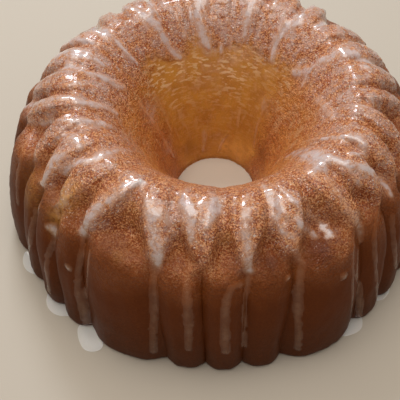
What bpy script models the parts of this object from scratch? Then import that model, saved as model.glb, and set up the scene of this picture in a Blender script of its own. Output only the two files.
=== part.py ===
"""A ring cake baked in a fluted tin and turned out: one solid resting on its flat underside.

The cake is drawn as one grid of points. Rings go up the outer side, over the crest and down
the funnel. Columns follow the flutes, so every groove and every scoop has a line of its own.
"""
import math
import random

import bpy
import bmesh

for old in list(bpy.data.objects):
    bpy.data.objects.remove(old)

# sizes of the plain ring, in metres
FOOT_RADIUS = 0.1215
CREST_RADIUS = 0.0735
HOLE_RADIUS = 0.0245
HEIGHT = 0.088
# how boxy the outer side and the funnel wall are; 2 is an ellipse and 1 a straight line
OUTER_BOXY = 2.15
FUNNEL_BOXY = 1.38
# rounding of the foot and of the lower edge of the hole
FOOT_ROUND = 0.0030
HOLE_LIP = 0.0015

# flutes: the tin repeats one wide lobe and three narrow ones
REPEATS = 7
FIRST_GROUP = 0.3
# widths in degrees at the foot, at the shoulder and at the crest
WIDE_WIDTHS = (22.4, 20.0, 7.0)
MIDDLE_WIDTHS = (9.4, 10.0, 14.6)
# degrees by which the front flutes stand further apart at the shoulder than at the foot
SPREAD = 4.5
# share of a lobe's width that its face takes, and that its scoop still takes at the scoop's end
FACE_SHARE = 0.90
WIDE_SCOOP_END, NARROW_SCOOP_END = 0.62, 0.42
# place across a lobe where its face ends; the rest is the groove or the ridge beside it
FACE_EDGE = 0.92
# heights along the outer side, as shares of its length from the foot to the crest
SHOULDER = 0.60
TIP = 0.675
SIDE_END = 0.725
SCOOP_START, SCOOP_DEEPEST = 0.61, 0.735
WIDE_APEX = 0.95
NARROW_APEX = 0.86
RIDGE_END = 0.90
CREST_START = 0.92
# share of the funnel's length above which the flutes show, and above which they are full
FLUTES_FADE, FLUTES_FULL = 0.70, 1.0
# relief, in metres, measured along the normal of the plain ring
WIDE_CROWN, NARROW_CROWN = 0.0027, 0.0009
SHOULDER_SWELL = 0.0008
GROOVE_DEPTH = 0.0034
WIDE_SCOOP, NARROW_SCOOP = 0.0080, 0.0056
RIDGE_RISE = 0.0021
CREST_FLUTE = 0.0009
# how square a lobe's face is across, how sharp its groove is and how narrow its ridge is
FACE_POWER, GROOVE_POWER, RIDGE_POWER = 2.4, 1.5, 3.0
# how far the crest dips over a wide lobe and over a narrow one, in shares of the flute
WIDE_DIP, NARROW_DIP = 0.7, 1.5
# columns of the grid
WIDE_COLUMNS, NARROW_COLUMNS, LAND_COLUMNS = 8, 4, 2
# rings of the grid; the outer side has its first ring just over the foot, a few up to the shoulder
# and closer ones from there on
FIRST_RING = 0.025
SHOULDER_RING = 0.55
SIDE_RINGS, SCOOP_RINGS, FUNNEL_RINGS = 4, 10, 8
# unevenness of baking
SEED = 28
SWELL = 0.0009
SWELL_TURNS = (2, 3, 4, 5, 9, 13)
LEAST_TILT, MOST_TILT = 0.85, 1.15
# colour and roughness of the plain crust
CRUST_COLOUR = (0.42, 0.17, 0.06, 1.0)
CRUST_ROUGHNESS = 0.55


def smooth(edge0, edge1, x):
    """Ramp from 0 to 1 between two edges."""
    t = min(1.0, max(0.0, (x - edge0) / (edge1 - edge0)))
    return t * t * (3.0 - 2.0 * t)


def plain_outer(rise):
    """Point (radius, height) of the plain ring's outer side; rise runs from 0 to 1."""
    t = math.sin(rise * math.pi / 2.0)
    reach = max(0.0, 1.0 - t ** OUTER_BOXY) ** (1.0 / OUTER_BOXY)
    return CREST_RADIUS + (FOOT_RADIUS - CREST_RADIUS) * reach, HEIGHT * t


def plain_funnel(rise):
    """Point (radius, height) of the funnel wall; rise runs from 0 at the hole to 1 at the crest."""
    t = math.sin(rise * math.pi / 2.0)
    reach = max(0.0, 1.0 - t ** FUNNEL_BOXY) ** (1.0 / FUNNEL_BOXY)
    return CREST_RADIUS - (CREST_RADIUS - HOLE_RADIUS) * reach, HEIGHT * t


def by_length(curve, steps=600):
    """Returns a function from share of length to (radius, height, normal radius, normal height)."""
    points = [curve(i / steps) for i in range(steps + 1)]
    lengths = [0.0]
    for a, b in zip(points, points[1:]):
        lengths.append(lengths[-1] + math.hypot(b[0] - a[0], b[1] - a[1]))

    def at(share):
        want = share * lengths[-1]
        k = 1
        while k < steps and lengths[k] < want:
            k += 1
        span = lengths[k] - lengths[k - 1]
        f = (want - lengths[k - 1]) / span if span > 0 else 0.0
        f = min(1.0, max(0.0, f))
        a, b = points[k - 1], points[k]
        lo, hi = points[max(0, k - 4)], points[min(steps, k + 3)]
        dr, dz = hi[0] - lo[0], hi[1] - lo[1]
        size = math.hypot(dr, dz)
        return a[0] + (b[0] - a[0]) * f, a[1] + (b[1] - a[1]) * f, dz / size, -dr / size

    return at


OUTER_AT = by_length(plain_outer)
FUNNEL_AT = by_length(plain_funnel)


def lobes(level):
    """Every lobe as (kind, width) at one level, in order round the ring."""
    turn = 360.0 / REPEATS
    wide, middle = WIDE_WIDTHS[level], MIDDLE_WIDTHS[level]
    flank = (turn - wide - middle) / 2.0
    return [("narrow", middle), ("narrow", flank), ("wide", wide), ("narrow", flank)] * REPEATS


def opening(kind, up):
    """Share of a lobe's width that its face or scoop takes, at a height along the outer side."""
    apex, least = (WIDE_APEX, WIDE_SCOOP_END) if kind == "wide" else (NARROW_APEX, NARROW_SCOOP_END)
    return FACE_SHARE + (least - FACE_SHARE) * smooth(SCOOP_START, apex, up)


def relief(kind, across, up):
    """Outward relief at a place on the outer side; across is 0 mid-lobe and 1 at the groove."""
    crown = WIDE_CROWN if kind == "wide" else NARROW_CROWN
    scoop = WIDE_SCOOP if kind == "wide" else NARROW_SCOOP
    apex = WIDE_APEX if kind == "wide" else NARROW_APEX
    side = 1.0 - smooth(SHOULDER, SIDE_END, up)
    crown += SHOULDER_SWELL * smooth(SHOULDER / 2.0, SHOULDER, up)
    body = 1.0 - across ** FACE_POWER
    value = side * (crown * body - GROOVE_DEPTH * (1.0 - body) ** GROOVE_POWER)
    hollow = smooth(SCOOP_START, SCOOP_DEEPEST, up) * (1.0 - smooth(SCOOP_DEEPEST, apex, up))
    value -= scoop * hollow * (1.0 - min(1.0, across / FACE_EDGE) ** 2.0)
    ridge = smooth(SHOULDER, SIDE_END, up) * (1.0 - smooth(RIDGE_END, 1.0, up))
    value += RIDGE_RISE * ridge * across ** RIDGE_POWER
    value += crest_flute(kind, across) * smooth(TIP, CREST_START, up)
    return value


def crest_flute(kind, across):
    """Shallow flute that runs on over the crest; it is highest between two lobes."""
    dip = WIDE_DIP if kind == "wide" else NARROW_DIP
    return CREST_FLUTE * (1.0 - dip * (1.0 - across ** 2.0))


def even_lobes():
    """Lobes as wide as their columns need, for the bottom of the funnel."""
    unit = 360.0 / REPEATS / (WIDE_COLUMNS + 3 * NARROW_COLUMNS + 4 * LAND_COLUMNS)
    wide, narrow = (WIDE_COLUMNS + LAND_COLUMNS) * unit, (NARROW_COLUMNS + LAND_COLUMNS) * unit
    return [("narrow", narrow), ("narrow", narrow), ("wide", wide), ("narrow", narrow)] * REPEATS


def lay_out(order, share):
    """Angle, lobe number, kind and place across the lobe of every column."""
    found = []
    start = FIRST_GROUP - order[0][1] / 2.0
    for number, (kind, width) in enumerate(order):
        half = width / 2.0
        count = WIDE_COLUMNS if kind == "wide" else NARROW_COLUMNS
        found.append((start, number, kind, -1.0))
        for i in range(count + 1):
            spot = -1.0 + 2.0 * i / count
            found.append((start + half + half * share(kind, count) * spot, number, kind, spot * FACE_EDGE))
        start += width
    return found


def columns(up):
    """Columns of the outer side at one height."""
    if up < SHOULDER:
        low, high, blend = lobes(0), lobes(1), smooth(0.05, SHOULDER, up)
    else:
        low, high, blend = lobes(1), lobes(2), smooth(TIP, 1.0, up)
    order = [(a[0], a[1] + (b[1] - a[1]) * blend) for a, b in zip(low, high)]
    found = lay_out(order, lambda kind, count: opening(kind, up))
    stand = smooth(0.1, SHOULDER, up)
    return [(a[0] + spread(a[0]) * stand,) + tuple(a[1:]) for a in found]


def funnel_columns(up):
    """Columns of the funnel wall: those of the crest, evened out towards the hole."""
    top = columns(1.0)
    even = lay_out(even_lobes(), lambda kind, count: count / (count + LAND_COLUMNS))
    blend = smooth(0.0, 1.0, 1.0 - up)
    return [(a[0] + (b[0] - a[0]) * blend,) + tuple(a[1:]) for a, b in zip(top, even)]


def spread(angle):
    """Extra degrees at an angle, none at the very front, at the sides and at the back."""
    turned = (angle + 180.0) % 360.0 - 180.0
    return SPREAD * math.sin(math.radians(2.0 * turned)) if abs(turned) < 90.0 else 0.0


def swell_waves():
    """A few seeded waves that make no two lobes quite alike."""
    rng = random.Random(SEED)
    waves = []
    for turns in SWELL_TURNS:
        waves.append((turns, rng.uniform(0, 2 * math.pi), rng.uniform(0.5, 1.0) / math.sqrt(turns)))
    return waves


def lobe_tilts():
    """Seeded share by which each lobe's relief is stronger or weaker."""
    rng = random.Random(SEED + 1)
    return [rng.uniform(LEAST_TILT, MOST_TILT) for _ in range(4 * REPEATS)]


WAVES = swell_waves()
TILTS = lobe_tilts()


def swelling(angle, up):
    """Slow unevenness of the crust at an angle in degrees and a share of height."""
    total = 0.0
    for turns, phase, size in WAVES:
        total += size * math.sin(turns * math.radians(angle) + phase + 2.0 * up)
    return SWELL * total * smooth(0.0, 0.15, up)


def place(angle, radius, height):
    """Point at an angle measured from the front (minus Y) towards plus X."""
    a = math.radians(angle)
    return radius * math.sin(a), -radius * math.cos(a), height


def outer_ring(up):
    """Points of one ring on the outer side."""
    radius, height, out, lift = OUTER_AT(up)
    ring = []
    for angle, number, kind, across in columns(up):
        push = relief(kind, min(1.0, abs(across)), up) * TILTS[number] + swelling(angle, up)
        r, z = radius + out * push, height + lift * push
        if z < FOOT_ROUND:
            drop = 1.0 - max(0.0, z) / FOOT_ROUND
            r -= FOOT_ROUND * 0.7 * (1.0 - math.sqrt(max(0.0, 1.0 - drop * drop)))
        if up == 0.0:
            z = 0.0
        ring.append(place(angle, r, z))
    return ring


def funnel_ring(up):
    """Points of one ring on the funnel wall; up is 1 at the crest and 0 at the hole."""
    radius, height, out, lift = FUNNEL_AT(up)
    ring = []
    for angle, number, kind, across in funnel_columns(up):
        push = crest_flute(kind, abs(across)) * smooth(FLUTES_FADE, FLUTES_FULL, up) * TILTS[number]
        push += swelling(angle, 1.0) * smooth(0.0, 0.3, up)
        r, z = radius - out * push, height - lift * push
        if up == 0.0:
            r, z = radius - HOLE_LIP * 0.3, 0.0
        ring.append(place(angle, r, z))
    return ring


def ring_heights():
    """Shares of the outer side's length at which the rings stand, closer over the scoops."""
    low = [FIRST_RING + (SHOULDER_RING - FIRST_RING) * (i + 1) / SIDE_RINGS for i in range(SIDE_RINGS)]
    high = [SHOULDER_RING + (1.0 - SHOULDER_RING) * (i + 1) / SCOOP_RINGS for i in range(SCOOP_RINGS)]
    return [0.0, FIRST_RING] + low + high


def build_cake():
    """Builds the closed cake mesh."""
    rings = [outer_ring(up) for up in ring_heights()]
    for i in range(1, FUNNEL_RINGS + 1):
        rings.append(funnel_ring(1.0 - i / FUNNEL_RINGS))
    bm = bmesh.new()
    grid = [[bm.verts.new(p) for p in ring] for ring in rings]
    count = len(grid[0])
    for low, high in zip(grid, grid[1:] + grid[:1]):
        for j in range(count):
            k = (j + 1) % count
            bm.faces.new((low[j], low[k], high[k], high[j]))
    bmesh.ops.recalc_face_normals(bm, faces=bm.faces)
    xs = [v.co.x for v in bm.verts]
    ys = [v.co.y for v in bm.verts]
    shift = ((max(xs) + min(xs)) / 2.0, (max(ys) + min(ys)) / 2.0)
    for v in bm.verts:
        v.co.x -= shift[0]
        v.co.y -= shift[1]
    mesh = bpy.data.meshes.new("cake")
    bm.to_mesh(mesh)
    bm.free()
    for face in mesh.polygons:
        face.use_smooth = abs(face.normal.z) < 0.98 or face.center.z > 0.01
    return mesh


def crust_material():
    """Browned crust."""
    material = bpy.data.materials.new("cake")
    material.use_nodes = True
    shader = material.node_tree.nodes["Principled BSDF"]
    shader.inputs["Base Color"].default_value = CRUST_COLOUR
    shader.inputs["Roughness"].default_value = CRUST_ROUGHNESS
    return material


cake = bpy.data.objects.new("cake", build_cake())
cake.data.materials.append(crust_material())
bpy.context.scene.collection.objects.link(cake)
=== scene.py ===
# %% [markdown]
# A glazed ring cake
#
# This lesson dresses a ring cake that was baked in a fluted tin, turned out and drizzled with sugar glaze.
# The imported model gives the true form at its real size. Here the crust gets its crumb, its colours and its
# gloss, and the glaze is laid over it as a thin skin of its own.
# Everything is in metres. +Z is up, and -Y is the side that faces the camera.

import math
import random
from types import SimpleNamespace

import bpy
import numpy as np
from mathutils import Matrix, Vector, noise
from mathutils.bvhtree import BVHTree
from mathutils.kdtree import KDTree


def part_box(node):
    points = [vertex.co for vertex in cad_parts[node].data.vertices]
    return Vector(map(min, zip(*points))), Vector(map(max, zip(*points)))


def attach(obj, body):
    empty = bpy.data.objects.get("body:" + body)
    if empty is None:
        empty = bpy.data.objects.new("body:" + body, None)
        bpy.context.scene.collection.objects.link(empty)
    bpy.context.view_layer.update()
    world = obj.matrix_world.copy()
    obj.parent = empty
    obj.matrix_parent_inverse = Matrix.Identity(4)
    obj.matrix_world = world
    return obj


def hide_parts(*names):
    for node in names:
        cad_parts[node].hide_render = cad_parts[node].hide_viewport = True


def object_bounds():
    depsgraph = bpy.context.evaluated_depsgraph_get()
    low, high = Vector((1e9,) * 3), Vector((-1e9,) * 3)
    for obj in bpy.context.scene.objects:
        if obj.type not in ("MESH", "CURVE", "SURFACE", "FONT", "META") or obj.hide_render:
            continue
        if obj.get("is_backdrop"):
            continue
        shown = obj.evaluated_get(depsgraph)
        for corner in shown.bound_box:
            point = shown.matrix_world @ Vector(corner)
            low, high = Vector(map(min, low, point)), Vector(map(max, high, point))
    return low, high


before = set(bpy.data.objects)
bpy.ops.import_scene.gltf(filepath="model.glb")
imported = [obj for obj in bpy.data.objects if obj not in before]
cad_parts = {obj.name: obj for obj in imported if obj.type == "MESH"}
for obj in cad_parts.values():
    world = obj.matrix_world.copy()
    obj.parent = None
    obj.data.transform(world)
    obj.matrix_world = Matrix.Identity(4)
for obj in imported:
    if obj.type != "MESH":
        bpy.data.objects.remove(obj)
cad_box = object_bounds()
cake_low, cake_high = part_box("cake")
CAKE_HEIGHT = cake_high.z - cake_low.z
CAKE_RADIUS = cake_high.x
print("cake: %.0f mm across, %.0f mm high" % (CAKE_RADIUS * 2000, CAKE_HEIGHT * 1000))

# %% [markdown]
# The camera looks down on the cake from about fifty degrees, close enough for the crust's grain to show.
# Its distance, its focal length and its small roll were worked out from the cake's outline and its hole,
# so a pixel of the picture can be followed back to a spot on the cake. The frame is 400 pixels wide, and the
# lens looks through the pixel at AXIS_X, AXIS_Y.

# %% The camera
FRAME_PIXELS = 400
CAMERA_ELEVATION = math.radians(50.23)
CAMERA_DISTANCE = 0.4607
CAMERA_ROLL = -0.0212
FOCAL_PIXELS = 757.15
AXIS_X, AXIS_Y = 196.24, 165.32
LOOK_AT = Vector((-0.0117, 0.0, 0.0209))
SENSOR = 36.0


def make_camera():
    """Camera at the photograph's angle."""
    back = Vector((0.0, -math.cos(CAMERA_ELEVATION), math.sin(CAMERA_ELEVATION)))
    side = Vector((1.0, 0.0, 0.0))
    up = Vector((0.0, math.sin(CAMERA_ELEVATION), math.cos(CAMERA_ELEVATION)))
    cosine, sine = math.cos(CAMERA_ROLL), math.sin(CAMERA_ROLL)
    image_x = side * cosine + up * sine
    image_y = up * cosine - side * sine
    data = bpy.data.cameras.new("camera")
    data.sensor_width = SENSOR
    data.lens = FOCAL_PIXELS * SENSOR / FRAME_PIXELS
    data.shift_x = -(AXIS_X - FRAME_PIXELS / 2) / FRAME_PIXELS
    data.shift_y = (AXIS_Y - FRAME_PIXELS / 2) / FRAME_PIXELS
    camera = bpy.data.objects.new("camera", data)
    bpy.context.scene.collection.objects.link(camera)
    place = LOOK_AT + back * CAMERA_DISTANCE
    turned = Matrix((image_x, image_y, back)).transposed().to_4x4()
    camera.matrix_world = Matrix.Translation(place) @ turned
    return camera


camera = make_camera()
bpy.context.scene.camera = camera
print("lens %.1f mm" % camera.data.lens)


# %% A line of sight through a pixel
def sight_line(x, y):
    """Start and direction of the line of sight through a pixel of the 400-pixel frame."""
    right = (x - AXIS_X) / FOCAL_PIXELS
    rise = (AXIS_Y - y) / FOCAL_PIXELS
    turn = camera.matrix_world.to_3x3()
    return camera.matrix_world.translation.copy(), (turn @ Vector((right, rise, -1.0))).normalized()


print("middle of the picture looks along", [round(v, 2) for v in sight_line(200, 200)[1]])

# %% [markdown]
# The main light is a soft window above and behind the cake. It skims the crust, so the ridges and the wet
# glaze catch it, while the side that faces the camera stays in shade. A wide ceiling light evens it out, and
# a weak warm fill from the front keeps that side readable.

# %% Lights
LIGHTS = {
    "window": {"place": (-0.15, 0.70, 0.80), "aim": (0.0, 0.0, 0.05), "size": 0.26, "power": 4.5,
               "colour": (0.84, 0.91, 1.0)},
    "fill": {"place": (0.10, -0.90, 0.35), "aim": (0.0, 0.0, 0.04), "size": 0.8, "power": 0.35,
             "colour": (1.0, 0.93, 0.85)},
    "ceiling": {"place": (-0.10, 0.05, 1.1), "aim": (0.0, 0.0, 0.05), "size": 0.9, "power": 7.0,
                "colour": (1.0, 0.95, 0.88)},
}


def area_light(name, place, aim, size, power, colour):
    """Soft square light that faces a point."""
    data = bpy.data.lights.new(name, "AREA")
    data.size = size
    data.energy = power
    data.color = colour
    light = bpy.data.objects.new(name, data)
    bpy.context.scene.collection.objects.link(light)
    light.location = place
    light.rotation_euler = (Vector(aim) - Vector(place)).to_track_quat("-Z", "Y").to_euler()
    return light


for name, settings in LIGHTS.items():
    area_light(name, **settings)

# %% [markdown]
# The cake stands on a plain pale floor under a dim warm sky. The Standard view keeps the browns as mixed.

# %% World and floor
SKY_COLOUR, SKY_STRENGTH = (1.0, 0.93, 0.84, 1.0), 0.24
FLOOR_SIZE = 3.0
FLOOR_COLOUR, FLOOR_ROUGHNESS = (0.62, 0.55, 0.46, 1.0), 0.75

world = bpy.data.worlds.new("studio")
bpy.context.scene.world = world
world.use_nodes = True
sky = world.node_tree.nodes["Background"]
sky.inputs["Color"].default_value = SKY_COLOUR
sky.inputs["Strength"].default_value = SKY_STRENGTH
bpy.context.scene.view_settings.view_transform = "Standard"

bpy.ops.object.select_all(action="DESELECT")
bpy.ops.mesh.primitive_plane_add(size=FLOOR_SIZE, location=(0, 0, 0))
floor = bpy.context.object
floor.name = "floor"
floor_paint = bpy.data.materials.new("floor_paint")
floor_paint.use_nodes = True
floor_shader = floor_paint.node_tree.nodes["Principled BSDF"]
floor_shader.inputs["Base Color"].default_value = FLOOR_COLOUR
floor_shader.inputs["Roughness"].default_value = FLOOR_ROUGHNESS
floor.data.materials.append(floor_paint)
floor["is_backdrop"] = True
print("floor: %.0f m across" % floor.dimensions.x)

# %% [markdown]
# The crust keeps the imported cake's form. Its triangles are joined back to four-sided faces, so that a
# Subdivision Surface rounds the flutes evenly. Rounding would take the height off the ridges and widen the
# hole. So the rims of the underside are creased, and every corner is first moved out by what it would lose.
# Two Displace modifiers then raise the low lumps and the crumb, and the underside is kept flat.

# %% The crust's mesh
WELD = 0.00001
RIM_ANGLE = math.radians(50)
ROUNDING, HOLDING_ROUNDS = 2, 4
RELIEF = {"lumps": {"size": 0.016, "detail": 1, "height": 0.0010},
          "crumb": {"size": 0.0034, "detail": 2, "height": 0.0007}}
UNMOVED_GREY = 0.5


def new_piece(name, mesh):
    """Object of a mesh in the scene, selected and active."""
    piece = bpy.data.objects.new(name, mesh)
    bpy.context.scene.collection.objects.link(piece)
    bpy.ops.object.select_all(action="DESELECT")
    piece.select_set(True)
    bpy.context.view_layer.objects.active = piece
    return piece


def apply_modifier(piece, kind, **settings):
    """Adds a modifier with its settings and applies it."""
    modifier = piece.modifiers.new(kind.lower(), kind)
    for key, value in settings.items():
        setattr(modifier, key, value)
    bpy.context.view_layer.objects.active = piece
    bpy.ops.object.modifier_apply(modifier=modifier.name)


def raise_clouds(piece, name, size, detail, height):
    """Moves the surface out and in by a procedural cloud texture."""
    texture = bpy.data.textures.new(name, "CLOUDS")
    texture.noise_scale = size
    texture.noise_depth = detail
    apply_modifier(piece, "DISPLACE", texture=texture, strength=height, mid_level=UNMOVED_GREY)


def hold_corners(piece):
    """Moves the points out by what rounding takes, so that the rounded form goes through the old ones."""
    count = 3 * len(piece.data.vertices)
    wanted, now = np.zeros(count), np.zeros(count)
    piece.data.vertices.foreach_get("co", wanted)
    now[:] = wanted
    piece.modifiers.new("look", "SUBSURF").levels = ROUNDING
    for _ in range(HOLDING_ROUNDS):
        rounded = piece.evaluated_get(bpy.context.evaluated_depsgraph_get()).data
        got = np.zeros(3 * len(rounded.vertices))
        rounded.vertices.foreach_get("co", got)
        miss = wanted - got[:count]
        now += miss
        piece.data.vertices.foreach_set("co", now)
        piece.data.update()
        print("corners missed by %.2f mm at most" % (1000 * np.abs(miss).max()))
    piece.modifiers.remove(piece.modifiers["look"])


def join_and_crease(piece):
    """Joins the triangles to four-sided faces and creases the rims of the underside."""
    bpy.ops.mesh.customdata_custom_splitnormals_clear()
    bpy.ops.object.mode_set(mode="EDIT")
    bpy.ops.mesh.select_all(action="SELECT")
    bpy.ops.mesh.remove_doubles(threshold=WELD)
    bpy.ops.mesh.tris_convert_to_quads(face_threshold=math.pi, shape_threshold=math.pi)
    bpy.ops.mesh.normals_make_consistent(inside=False)
    bpy.ops.mesh.select_mode(type="EDGE")
    bpy.ops.mesh.select_all(action="DESELECT")
    bpy.ops.mesh.edges_select_sharp(sharpness=RIM_ANGLE)
    bpy.ops.transform.edge_crease(value=1.0)
    bpy.ops.object.mode_set(mode="OBJECT")
    held = [edge for edge in piece.data.edges if edge.select]
    print("faces before rounding:", len(piece.data.polygons), "edges held:", len(held))


def make_crust():
    """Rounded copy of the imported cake."""
    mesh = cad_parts["cake"].data.copy()
    mesh.materials.clear()
    piece = new_piece("crust", mesh)
    join_and_crease(piece)
    hold_corners(piece)
    apply_modifier(piece, "SUBSURF", levels=ROUNDING, render_levels=ROUNDING)
    for name, settings in RELIEF.items():
        raise_clouds(piece, name, **settings)
    for vertex in piece.data.vertices:
        vertex.co.z = max(vertex.co.z, 0.0)
    bpy.ops.object.shade_smooth()
    return piece


crust = make_crust()
print("crust: %d faces" % len(crust.data.polygons))

# %% [markdown]
# A material here is a short chain of nodes. These helpers add a node, set its values and join it up, so that
# each finish below reads from top to bottom like a recipe.

# %% Helpers for materials
class Recipe:
    """Builds the nodes of one material."""

    def __init__(self, name):
        self.material = bpy.data.materials.new(name)
        self.material.use_nodes = True
        self.tree = self.material.node_tree
        self.shader = self.tree.nodes["Principled BSDF"]
        self.place = self.add("ShaderNodeTexCoord").outputs["Object"]

    def add(self, kind, **values):
        """Adds a node; a value that is a socket is linked, any other is set."""
        node = self.tree.nodes.new(kind)
        for key, value in values.items():
            if hasattr(node, key):
                setattr(node, key, value)
                continue
            socket = node.inputs[int(key[1:])] if key[1:].isdigit() else node.inputs[key.replace("_", " ")]
            self.put(socket, value)
        return node

    def put(self, socket, value):
        """Links or sets one socket."""
        if isinstance(value, bpy.types.NodeSocket):
            self.tree.links.new(value, socket)
        else:
            socket.default_value = value

    def math(self, what, a, b=0.0, c=0.0, clamp=False):
        """Result of a Math node."""
        return self.add("ShaderNodeMath", operation=what, use_clamp=clamp, _0=a, _1=b, _2=c).outputs[0]

    def times(self, a, b, clamp=False):
        """Product of two values."""
        return self.math("MULTIPLY", a, b, clamp=clamp)

    def ramp(self, value, low, high, first=0.0, last=1.0):
        """Smooth ramp of a value between two limits."""
        node = self.add("ShaderNodeMapRange", interpolation_type="SMOOTHSTEP", Value=value)
        for socket, limit in zip(("From Min", "From Max", "To Min", "To Max"), (low, high, first, last)):
            node.inputs[socket].default_value = limit
        return node.outputs["Result"]

    def noise(self, scale, detail=2.0, roughness=0.5, warp=0.0, place=None):
        """Noise in the object's own coordinates, or in others; scale is in waves a metre."""
        node = self.add("ShaderNodeTexNoise", Vector=place or self.place, Scale=scale, Detail=detail)
        node.inputs["Roughness"].default_value = roughness
        node.inputs["Distortion"].default_value = warp
        return node.outputs["Fac"]

    def mix(self, share, a, b, blend="MIX"):
        """Mix of two colours."""
        node = self.add("ShaderNodeMix", data_type="RGBA", blend_type=blend, clamp_factor=True)
        self.put(node.inputs[0], share)
        self.put(node.inputs[6], a)
        self.put(node.inputs[7], b)
        return node.outputs[2]

    def attribute(self, name):
        """Value that is stored on the mesh."""
        return self.add("ShaderNodeAttribute", attribute_name=name).outputs["Fac"]

    def bump(self, height):
        """Normal of a relief whose height is in metres."""
        return self.add("ShaderNodeBump", Height=height, Distance=1.0, Strength=1.0).outputs["Normal"]

    def finish(self, **values):
        """Links or sets the shader's own sockets and hands over the material."""
        for key, value in values.items():
            self.put(self.shader.inputs[key.replace("_", " ")], value)
        return self.material


def srgb(red, green, blue):
    """Colour of a material from the 0 to 255 values that a paint program shows."""
    def linear(v):
        v = v / 255.0
        return v / 12.92 if v <= 0.04045 else ((v + 0.055) / 1.055) ** 2.4
    return (linear(red), linear(green), linear(blue), 1.0)


print("middle grey is", [round(v, 2) for v in srgb(128, 128, 128)])

# %% [markdown]
# The glaze was poured over the top while it was thin. It stayed on the ridges between the scoops, ran down
# the grooves between the lobes and gathered at the foot. It is made as a skin of real thickness: a fine net
# is first laid on the crust, then every stroke of glaze raises the net where it passes, and the raised part
# of the net becomes the piece. Its lines go round the cake and from the foot over the crest to the hole.

# %% A net on the crust
NET_TURNS = 870
NET_ROWS = 252
CORE_RADIUS, CORE_HEIGHT = 0.076, 0.035
HOLE_RADIUS, FOOT_MARGIN = 0.024, 0.0012
TILT_STEPS = 400
MEASURED_ANGLES = (0.4, 2.0, 4.1)

crust_tree = BVHTree.FromObject(crust, bpy.context.evaluated_depsgraph_get())


def cast_from_core(angle, tilt):
    """Spot on the crust seen from the core circle; tilt 0 looks outwards and 90 degrees looks up."""
    out = Vector((math.sin(angle), -math.cos(angle), 0.0))
    core = out * CORE_RADIUS + Vector((0, 0, CORE_HEIGHT))
    line = out * math.cos(tilt) + Vector((0, 0, math.sin(tilt)))
    spot, normal, _, _ = crust_tree.ray_cast(core, line)
    return spot, normal


def even_tilts():
    """Tilts whose spots lie evenly along the cake's section, from the foot to the hole's lower edge."""
    drop = CORE_HEIGHT - FOOT_MARGIN
    low = -math.atan2(drop, CAKE_RADIUS - CORE_RADIUS)
    high = math.pi + math.atan2(drop, CORE_RADIUS - HOLE_RADIUS)
    tilts = [low + (high - low) * i / TILT_STEPS for i in range(TILT_STEPS + 1)]
    lengths = np.zeros(TILT_STEPS + 1)
    for angle in MEASURED_ANGLES:
        spots = [cast_from_core(angle, tilt)[0] for tilt in tilts]
        steps = [(b - a).length for a, b in zip(spots, spots[1:])]
        lengths[1:] += np.cumsum(steps)
    wanted = np.linspace(0.0, lengths[-1], NET_ROWS)
    return np.interp(wanted, lengths, tilts)


net_spots = np.zeros((NET_ROWS, NET_TURNS, 3))
net_normals = np.zeros((NET_ROWS, NET_TURNS, 3))
for row, tilt in enumerate(even_tilts()):
    for turn in range(NET_TURNS):
        spot, normal = cast_from_core(2 * math.pi * turn / NET_TURNS, tilt)
        net_spots[row, turn] = spot
        net_normals[row, turn] = normal
crest_row = int(np.argmax(net_spots[:, :, 2].mean(axis=1)))
print("net: %d by %d, crest on row %d" % (NET_ROWS, NET_TURNS, crest_row))


# %% Smooth normals for the net
NORMAL_BLUR = 2


def blurred(field, times):
    """Average of each net point with its neighbours, round the closed turns and along the rows."""
    for _ in range(times):
        field = (field + np.roll(field, 1, axis=1) + np.roll(field, -1, axis=1)) / 3.0
        padded = np.concatenate([field[:1], field, field[-1:]])
        field = (padded[:-2] + padded[1:-1] + padded[2:]) / 3.0
    return field


net_normals = blurred(net_normals, NORMAL_BLUR)
net_normals /= np.linalg.norm(net_normals, axis=2, keepdims=True)
print("net normals:", net_normals.shape)

# %% [markdown]
# A stroke is a path with a width that changes along it. The ones that show in the picture are given as
# pixels of the 400-pixel frame with a width in pixels, and each is followed along the line of sight down
# to the crust. Thick strokes stand on the ridges, body strokes are wide and even, and thin strokes are faint
# washes. Runs go down the side or into the funnel. The last value of a drop is its own density.

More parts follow.
